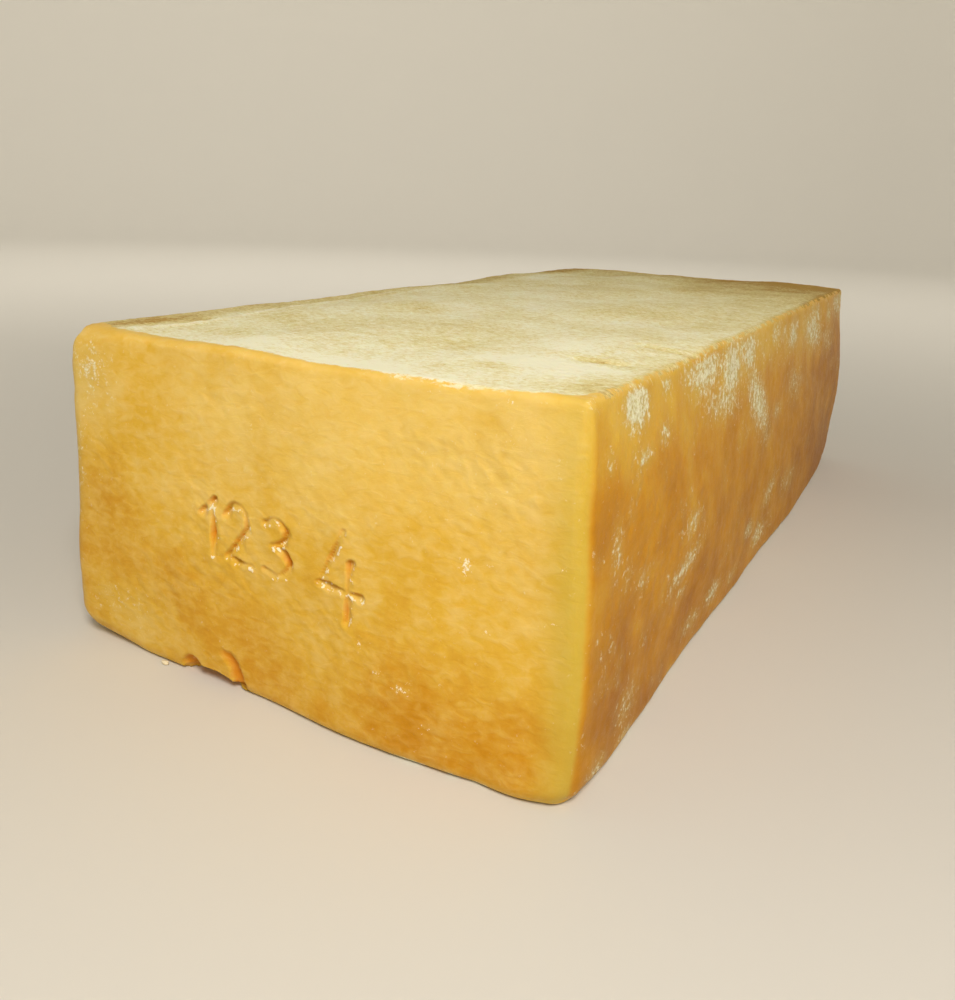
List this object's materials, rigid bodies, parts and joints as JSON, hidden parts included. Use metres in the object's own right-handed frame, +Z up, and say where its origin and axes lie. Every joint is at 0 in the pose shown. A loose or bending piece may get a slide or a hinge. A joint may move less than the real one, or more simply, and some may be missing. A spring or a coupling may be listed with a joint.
{
  "type": "tomme cheese block",
  "caption": "Rectangular block of pressed washed-rind tomme cheese, uncut, with rounded edges, a mould-dusted top and pressed digits on one end.",
  "frame": {"origin": "centre of the block's base, on the surface it lies on", "axes": "+Z up, +Y along the block's length away from the end with the pressed digits, +X to the right as that end is looked at"},
  "size_m": [0.2342, 0.5056, 0.1311],
  "materials": {
    "washed_rind": "satin, moist washed rind, golden orange, with a dry cream bloom on the top"
  },
  "bodies": {
    "root": {"cheese_block": "washed_rind"}
  },
  "joints": []
}
